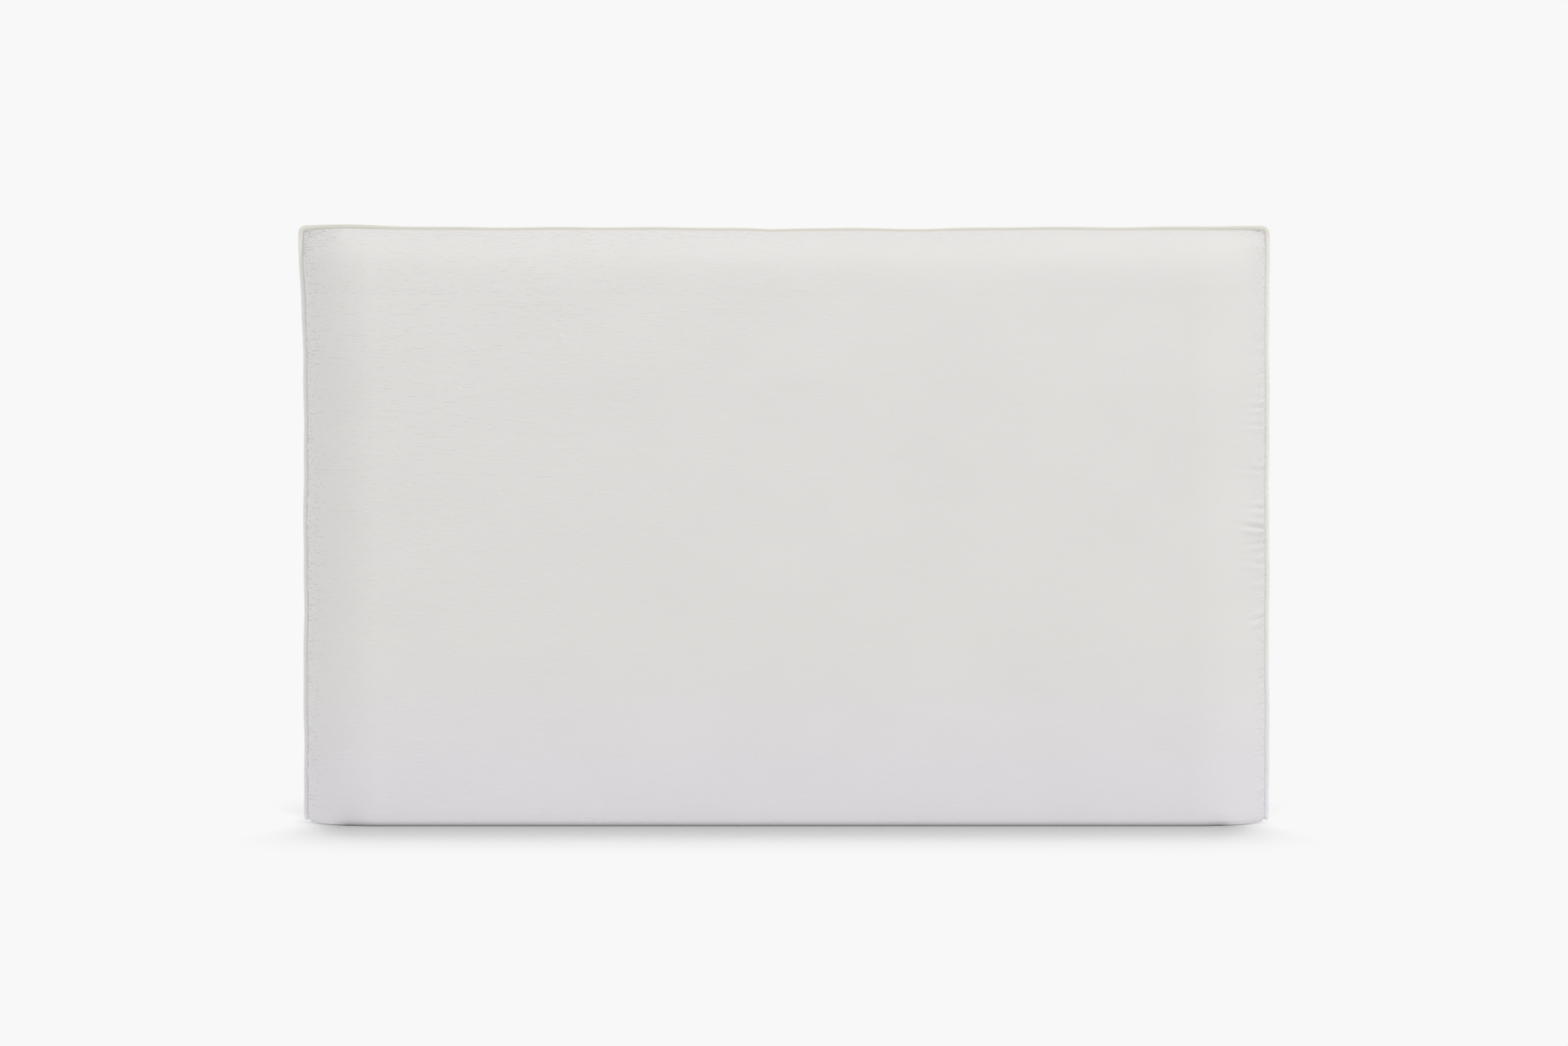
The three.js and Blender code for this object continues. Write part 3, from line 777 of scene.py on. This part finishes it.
# ---------------------------------------------------------------- materials
class Paint:
    """One material and its nodes."""

    def __init__(self, name, colour, roughness, **constants):
        self.material = bpy.data.materials.new(name)
        self.material.use_nodes = True
        self.tree = self.material.node_tree
        self.shader = self.tree.nodes["Principled BSDF"]
        self.shader.inputs["Base Color"].default_value = (*colour, 1)
        self.shader.inputs["Roughness"].default_value = roughness
        for key, value in constants.items():
            self.shader.inputs[key.replace("_", " ")].default_value = value

    def node(self, kind, output=0, settings=None, **inputs):
        made = self.tree.nodes.new("ShaderNode" + kind)
        for key, value in (settings or {}).items():
            setattr(made, key, value)
        for key, value in inputs.items():
            self.put(made.inputs[key.replace("_", " ")], value)
        return made.outputs[output]

    def put(self, socket, value):
        if isinstance(value, bpy.types.NodeSocket):
            self.tree.links.new(value, socket)
        else:
            socket.default_value = value

    def maths(self, operation, first, second=0.0):
        made = self.tree.nodes.new("ShaderNodeMath")
        made.operation = operation
        self.put(made.inputs[0], first)
        self.put(made.inputs[1], second)
        return made.outputs[0]

    def place(self):
        return self.node("Attribute", 1, {"attribute_name": "cloth"})

    def scaled(self, vector, across, along, deep=1.0):
        """The vector in units of the given lengths."""
        made = self.tree.nodes.new("ShaderNodeVectorMath")
        made.operation = "MULTIPLY"
        self.put(made.inputs[0], vector)
        made.inputs[1].default_value = (1 / across, 1 / along, 1 / deep)
        return made.outputs[0]

    def axes(self, vector):
        """The vector's X, Y and Z."""
        made = self.tree.nodes.new("ShaderNodeSeparateXYZ")
        self.put(made.inputs[0], vector)
        return made.outputs[0], made.outputs[1], made.outputs[2]

    def grey(self, tone):
        return self.node("CombineColor", 0, Red=tone, Green=tone, Blue=tone)

    def noise(self, vector, detail=2.0):
        return self.node("TexNoise", 0, Vector=vector, Scale=1.0, Detail=detail)

    def remap(self, value, low, high, new_low=0.0, new_high=1.0):
        return self.node(
            "MapRange",
            0,
            Value=value,
            From_Min=low,
            From_Max=high,
            To_Min=new_low,
            To_Max=new_high,
        )

    def blend(self, factor, first, second, mode="MIX"):
        made = self.tree.nodes.new("ShaderNodeMix")
        made.data_type = "RGBA"
        made.blend_type = mode
        self.put(made.inputs[0], factor)
        for socket, value in ((made.inputs[6], first), (made.inputs[7], second)):
            self.put(socket, value if isinstance(value, bpy.types.NodeSocket) else (*value, 1))
        return made.outputs[2]

    def bump(self, height, distance, below=None):
        made = self.tree.nodes.new("ShaderNodeBump")
        made.inputs["Distance"].default_value = distance
        self.put(made.inputs["Height"], height)
        if below is not None:
            self.put(made.inputs["Normal"], below)
        return made.outputs[0]

    def finish(self, colour=None, roughness=None, normal=None):
        for key, value in (("Base Color", colour), ("Roughness", roughness), ("Normal", normal)):
            if value is not None:
                self.put(self.shader.inputs[key], value)
        return self.material


def woven(paint, vector, pitch):
    """Height of a plain weave with the given thread spacing."""
    waves = [
        paint.maths("SINE", paint.maths("MULTIPLY", axis, 2 * math.pi / pitch))
        for axis in paint.axes(vector)[:2]
    ]
    return paint.maths("MULTIPLY", waves[0], waves[1])


# Painted light: a faint lavender tinge of light bounced up from the floor, put into the cloth's colour
# low on the pillow.
PAINTED_BOUNCE_TINT = (0.993, 0.985, 1.05)
PAINTED_BOUNCE_FULL = 20 * MM  # height below which the cloth has its whole painted bounce light
PAINTED_BOUNCE_END = 120 * MM


def painted_floor_bounce(paint, colour):
    """The colour with painted bounce light: a faint lavender tinge that fades in towards the pillow's
    foot.
    """
    height = paint.axes(paint.node("TexCoord", 3))[2]
    low = paint.remap(height, PAINTED_BOUNCE_FULL, PAINTED_BOUNCE_END, 1.0, 0.0)
    return paint.blend(low, colour, PAINTED_BOUNCE_TINT, "MULTIPLY")


SLUB_LENGTH = 7 * MM
SLUB_WIDTH = 1.3 * MM
SLUB_RELIEF = 0.3 * MM
SLUB_TONE = 0.055  # how much paler a slub is than the cloth
SEED_SPACING = 11 * MM  # between the small brown flecks of cotton seed
CASE_WEAVE = 0.5 * MM
PIPING_WEAVE = 0.45 * MM


def case_cloth():
    base = (0.693, 0.68, 0.662)
    paint = Paint("natural_white_cloth", base, 0.85, Sheen_Weight=0.15, Sheen_Roughness=0.5)
    place = paint.place()
    slubs = paint.noise(paint.scaled(place, SLUB_LENGTH, SLUB_WIDTH), 0.5)
    slubs = paint.remap(slubs, 0.6, 0.72)
    picks = paint.noise(paint.scaled(place, 45 * MM, CASE_WEAVE), 1.0)
    drift = paint.noise(paint.scaled(place, 70 * MM, 50 * MM), 3.0)
    tone = paint.remap(picks, 0.3, 0.7, 0.994, 1.006)
    tone = paint.maths("MULTIPLY", tone, paint.remap(drift, 0.35, 0.65, 0.992, 1.008))
    across, along, from_seam = paint.axes(place)
    near_seam = paint.remap(from_seam, 0.0, 50 * MM, 1.5, 0.0)
    # Painted grazing light: the slubs are paler and stand out more towards the upper left of the
    # cloth; they are also stronger near the seams.
    grazing_light_side = paint.maths("SUBTRACT", along, across)
    strength = paint.maths("ADD", near_seam, paint.remap(grazing_light_side, 0.25, 0.6, 0.08, 0.55))
    slubs = paint.maths("MULTIPLY", slubs, strength)
    tone = paint.maths("ADD", tone, paint.maths("MULTIPLY", slubs, SLUB_TONE))
    # painted bounce light: lavender tinge towards the foot
    colour = painted_floor_bounce(paint, paint.blend(1.0, base, paint.grey(tone), "MULTIPLY"))
    cells = paint.scaled(place, SEED_SPACING, SEED_SPACING)
    seeds = paint.node("TexVoronoi", 0, Vector=cells, Scale=1.0)
    colour = paint.blend(paint.remap(seeds, 0.05, 0.02, 0.0, 0.35), colour, (0.5, 0.45, 0.36))
    weave = paint.bump(woven(paint, place, CASE_WEAVE), 0.02 * MM)
    relief = paint.bump(slubs, SLUB_RELIEF, weave)
    crumple = paint.noise(paint.scaled(place, 16 * MM, 5 * MM), 3.0)
    return paint.finish(colour, None, paint.bump(crumple, 0.08 * MM, relief))


def simple_weave(name, colour, pitch, depth, roughness=0.85):
    """A woven or knitted cloth with uneven yarns."""
    paint = Paint(name, colour, roughness, Sheen_Weight=0.1, Sheen_Roughness=0.5)
    place = paint.place()
    yarns = paint.noise(paint.scaled(place, 6 * pitch, pitch), 2.0)
    darker = tuple(0.9 * c for c in colour)
    tinted = paint.blend(paint.remap(yarns, 0.35, 0.65), darker, colour)
    return paint.finish(tinted, None, paint.bump(woven(paint, place, pitch), depth))


def piping_cloth():
    """Bias-cut weave, with painted shade along the top: darker and creamier there than down the sides.
    """
    side_colour = (0.83, 0.825, 0.808)
    paint = Paint("cream_bias_cloth", side_colour, 0.85, Sheen_Weight=0.1)
    place = paint.place()
    height = paint.axes(paint.node("TexCoord", 3))[2]
    # Painted shade: the piping is darker and creamier along the top than down the sides.
    painted_top_shade = paint.remap(height, SEAM_TOP - 12 * MM, SEAM_TOP)
    colour = paint.blend(painted_top_shade, side_colour, (0.7, 0.68, 0.6))
    yarns = paint.noise(paint.scaled(place, 6 * PIPING_WEAVE, PIPING_WEAVE), 2.0)
    colour = paint.blend(paint.remap(yarns, 0.35, 0.65, 0.5, 0.0), colour, (0.7, 0.69, 0.65))
    weave = paint.bump(woven(paint, place, PIPING_WEAVE), 0.02 * MM)
    # painted bounce light: lavender tinge towards the foot
    return paint.finish(painted_floor_bounce(paint, colour), None, weave)


def cord_cotton():
    return simple_weave("cotton_strands", (0.82, 0.8, 0.74), 0.4 * MM, 0.05 * MM)


def thread_finish():
    paint = Paint("sewing_thread", (0.78, 0.77, 0.73), 0.6, Sheen_Weight=0.2)
    place = paint.place()
    ply = paint.node("TexWave", 1, {"bands_direction": "DIAGONAL"}, Vector=place, Scale=900.0)
    colour = paint.blend(ply, (0.7, 0.69, 0.65), (0.8, 0.79, 0.75))
    return paint.finish(colour, None, paint.bump(ply, 0.06 * MM))


def foam_finish():
    paint = Paint("open_cell_foam", (0.86, 0.82, 0.7), 0.95)
    place = paint.node("TexCoord", 3)
    cells = paint.node("TexVoronoi", 0, Vector=place, Scale=700.0)
    patches = paint.noise(paint.scaled(place, 60 * MM, 60 * MM, 60 * MM), 3.0)
    colour = paint.blend(paint.remap(patches, 0.3, 0.7), (0.84, 0.79, 0.66), (0.88, 0.85, 0.74))
    colour = paint.blend(paint.remap(cells, 0.0, 0.25, 0.35, 0.0), colour, (0.6, 0.56, 0.46))
    return paint.finish(colour, None, paint.bump(cells, 0.3 * MM))


def nylon_finish():
    paint = Paint("moulded_nylon", (0.84, 0.83, 0.8), 0.4, Subsurface_Weight=0.1)
    place = paint.node("TexCoord", 3)
    cloud = paint.noise(paint.scaled(place, 2 * MM, 2 * MM, 2 * MM), 3.0)
    colour = paint.blend(cloud, (0.8, 0.79, 0.76), (0.87, 0.86, 0.83))
    return paint.finish(colour, paint.remap(cloud, 0.3, 0.7, 0.33, 0.48), paint.bump(cloud, 0.02 * MM))


def enamel_finish():
    paint = Paint("white_enamel", (0.82, 0.81, 0.79), 0.25, Coat_Weight=0.4, Coat_Roughness=0.12)
    place = paint.node("TexCoord", 3)
    fine = paint.noise(paint.scaled(place, 0.9 * MM, 0.9 * MM, 0.9 * MM), 2.0)
    worn = paint.node("NewGeometry", 7)
    edge = paint.remap(paint.maths("ADD", worn, paint.maths("MULTIPLY", fine, 0.06)), 0.6, 0.75)
    colour = paint.blend(edge, (0.82, 0.81, 0.79), (0.6, 0.6, 0.6))
    return paint.finish(colour, paint.remap(fine, 0.3, 0.7, 0.2, 0.34), paint.bump(fine, 0.01 * MM))


MATERIALS = {
    "case_cloth": case_cloth(),
    "piping_cloth": piping_cloth(),
    "cotton_cord": cord_cotton(),
    "liner_knit": simple_weave("white_knit", (0.86, 0.86, 0.84), 0.9 * MM, 0.12 * MM),
    "foam": foam_finish(),
    "thread": thread_finish(),
    "zip_tape": simple_weave("woven_tape", (0.8, 0.79, 0.76), 0.6 * MM, 0.1 * MM),
    "zip_nylon": nylon_finish(),
    "zip_enamel": enamel_finish(),
}


def dress(piece, slot, body, node):
    """Gives a piece its material, and has it stand for a CAD node and move with a body."""
    piece.data.materials.clear()
    piece.data.materials.append(MATERIALS[slot])
    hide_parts(node)
    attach(piece, body)
    return piece


def zip_half(label, side):
    """One tape with its coil, its top stop and the stitches that hold the hem to it."""
    tape = zip_tape(f"zip_tape_{label}_web", f"zip_tape_{label}", side)
    coil = zip_coil(f"zip_coil_{label}_spiral", f"zip_coil_{label}", side)
    stop = softened(f"zip_top_stop_{label}_clip", f"zip_top_stop_{label}", 0.2 * MM)
    low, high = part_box(f"zip_stitching_{label}")
    y, z = (low.y + high.y) / 2, (low.z + high.z) / 2
    row = np.array([(low.x, y, z), (0, y, z), (high.x, y, z)])
    lines = surface_stitches(row, 0.75 * MM, 0.6 * MM)
    stitching = tube_object(f"zip_stitches_{label}", lines, circle(0.22 * MM, 6))
    return [
        dress(tape, "zip_tape", "pillow", f"zip_tape_{label}"),
        dress(coil, "zip_nylon", "pillow", f"zip_coil_{label}"),
        dress(stop, "zip_nylon", "pillow", f"zip_top_stop_{label}"),
        dress(stitching, "thread", "pillow", f"zip_stitching_{label}"),
    ]


# ---------------------------------------------------------------- camera, light and floor
CAMERA_DISTANCE = 7.0
CAMERA_ELEVATION = math.radians(1.0)
FRAME_WIDTH = 1.066  # width of the view at the pillow
SENSOR = 36.0
BACKDROP = 0.9387  # brightness of the pale floor and of what is behind it
FLOOR_TONE = 0.83
FLOOR_REACH = 6.0
FLOOR_DROP = 0.3 * MM  # keeps the floor clear of the pillow's foot
FOOT_HALF_LENGTH = 0.295  # of the ground that the pillow covers
# The floor's painted shadow around the pillow:
SHADE_HALF_LENGTH = 0.3
SHADE_REACH = 0.44  # how far from each face the floor's shade ends
SHADE_DEPTH = 0.33
SHADE_FALLOFF = 1.6
SHADE_NARROWING = 0.15  # how much its sides draw in per metre away from the face
SHADE_EDGE = 0.035  # softness of its two ends at the face
SHADE_SPREAD = 0.35  # how much softer they get per metre away from it


def make_camera():
    data = bpy.data.cameras.new("camera")
    camera = bpy.data.objects.new("camera", data)
    bpy.context.scene.collection.objects.link(camera)
    data.sensor_width = SENSOR
    data.lens = SENSOR * CAMERA_DISTANCE / FRAME_WIDTH
    aim = Vector((0.0, 0.0, cad_high.z / 2))
    back = Vector((0.0, -math.cos(CAMERA_ELEVATION), math.sin(CAMERA_ELEVATION)))
    camera.location = aim + back * CAMERA_DISTANCE
    camera.rotation_euler = (-back).to_track_quat("-Z", "Y").to_euler()
    bpy.context.scene.camera = camera


def make_world():
    world = bpy.data.worlds.new("studio")
    bpy.context.scene.world = world
    world.use_nodes = True
    background = world.node_tree.nodes["Background"]
    background.inputs["Color"].default_value = (BACKDROP, BACKDROP, BACKDROP, 1)
    background.inputs["Strength"].default_value = 1.0


def make_softbox(name, watts, size, place):
    data = bpy.data.lights.new(name, "AREA")
    data.energy = watts
    data.size = size
    lamp = bpy.data.objects.new(name, data)
    bpy.context.scene.collection.objects.link(lamp)
    lamp.location = place
    aim = Vector((0.0, 0.0, cad_high.z / 2))
    lamp.rotation_euler = (Vector(place) - aim).to_track_quat("Z", "Y").to_euler()


def shade_distance(paint, aside, ahead):
    """0 at the pillow's foot and 1 where the floor's shade has faded out."""
    reached = paint.maths("MULTIPLY", ahead, SHADE_NARROWING)
    beside = paint.maths("SUBTRACT", paint.maths("ADD", aside, reached), SHADE_HALF_LENGTH)
    fade = paint.maths("ADD", paint.maths("MULTIPLY", ahead, SHADE_SPREAD), SHADE_EDGE)
    beside = paint.maths("DIVIDE", paint.maths("MAXIMUM", beside, 0.0), fade)
    beside = paint.maths("POWER", beside, 2.0)
    ahead = paint.maths("POWER", paint.maths("DIVIDE", ahead, SHADE_REACH), 2.0)
    return paint.maths("SQRT", paint.maths("ADD", beside, ahead))


def floor_finish():
    """Pale matt floor with a painted shadow close to the pillow, glowing evenly further out.

    The painted shadow is put into the floor's colour, the same in front of the pillow as behind it.
    Only the camera sees all of it: other rays meet a floor that mostly glows, except underneath.
    """
    paint = Paint("pale_floor", (FLOOR_TONE,) * 3, 0.95, Specular_IOR_Level=0.0)
    x, y, _ = paint.axes(paint.node("TexCoord", 3))
    aside = paint.maths("ABSOLUTE", x)
    past_face = paint.maths("SUBTRACT", paint.maths("ABSOLUTE", y), FACE)
    away = shade_distance(paint, aside, paint.maths("MAXIMUM", past_face, 0.0))
    near = paint.maths("SUBTRACT", 1.0, paint.maths("MINIMUM", away, 1.0))
    # Painted shadow: the floor's colour darkens towards the pillow's foot.
    shade = paint.maths("MULTIPLY", paint.maths("POWER", near, SHADE_FALLOFF), -SHADE_DEPTH)
    paint.finish(paint.grey(paint.maths("ADD", shade, FLOOR_TONE)))
    glow = paint.tree.nodes.new("ShaderNodeEmission")
    glow.inputs["Color"].default_value = (BACKDROP, BACKDROP, BACKDROP, 1)
    outside = paint.maths("MAXIMUM", past_face, paint.maths("SUBTRACT", aside, FOOT_HALF_LENGTH))
    unseen = paint.maths("SUBTRACT", 1.0, paint.node("LightPath", 0))
    unseen = paint.maths("MULTIPLY", unseen, paint.remap(outside, 0.0, 12 * MM, 0.15, 0.85))
    mixed = paint.tree.nodes.new("ShaderNodeMixShader")
    paint.put(mixed.inputs[0], paint.maths("MAXIMUM", unseen, paint.remap(away, 0.3, 1.0)))
    paint.put(mixed.inputs[1], paint.shader.outputs[0])
    paint.put(mixed.inputs[2], glow.outputs[0])
    paint.put(paint.tree.nodes["Material Output"].inputs["Surface"], mixed.outputs[0])
    return paint.material


def make_floor():
    corners = [(-1, -1), (1, -1), (1, 1), (-1, 1)]
    verts = [(x * FLOOR_REACH, y * FLOOR_REACH, 0) for x, y in corners]
    floor = new_object("floor", verts, [(0, 1, 2, 3)])
    floor.location.z = -FLOOR_DROP
    floor.data.materials.append(floor_finish())


make_camera()
make_world()
make_softbox("high_key", 42.0, 3.0, (1.7, -2.1, 3.2))
make_floor()
bpy.context.scene.view_settings.view_transform = "Standard"

# ---------------------------------------------------------------- every piece in its place
case_points = layer_points(CASE)[0]
outline = seam_outline(case_points, PIPING_OFFSET, PIPING_START)
case_front = dress(case_panel("case_front_cloth", True), "case_cloth", "pillow", "case_front")
case_back = dress(case_panel("case_back_cloth", False), "case_cloth", "pillow", "case_back")
piping = dress(piping_cover(outline), "piping_cloth", "pillow", "piping_cover")
cord = dress(piping_cord(outline), "cotton_cord", "pillow", "piping_cord")
seam = lock_stitches(seam_outline(case_points, -1 * MM, 10 * MM), 0.5 * MM)
seam_thread = tube_object("case_seam_stitches", [seam], circle(0.18 * MM, 6))
dress(seam_thread, "thread", "pillow", "case_seam_thread")

liner_front = dress(liner_panel("liner_front_knit", True), "liner_knit", "pillow", "liner_front")
liner_back = dress(liner_panel("liner_back_knit", False), "liner_knit", "pillow", "liner_back")
liner_ring = lock_stitches(ring_around(layer_points(LINER)[0]), 0.7 * MM)
liner_thread = tube_object("liner_stitches", [liner_ring], circle(0.18 * MM, 6))
dress(liner_thread, "thread", "pillow", "liner_thread")
core = dress(foam_core(), "foam", "pillow", "foam_core")

zip_parts = {"front": zip_half("front", -1), "back": zip_half("back", 1)}
bottom_stop = softened("zip_bottom_stop_clip", "zip_bottom_stop", 0.2 * MM)
dress(bottom_stop, "zip_nylon", "pillow", "zip_bottom_stop")
for end in ("left", "right"):
    tack = bar_tack(f"bar_tack_{end}_thread", f"zip_bar_tack_{end}")
    dress(tack, "thread", "pillow", f"zip_bar_tack_{end}")
slider = softened("zip_slider_body", "zip_slider", 0.15 * MM)
dress(slider, "zip_enamel", "slider", "zip_slider")
pull = softened("zip_pull_tab", "zip_pull", 0.15 * MM)
dress(pull, "zip_enamel", "pull_tab", "zip_pull")
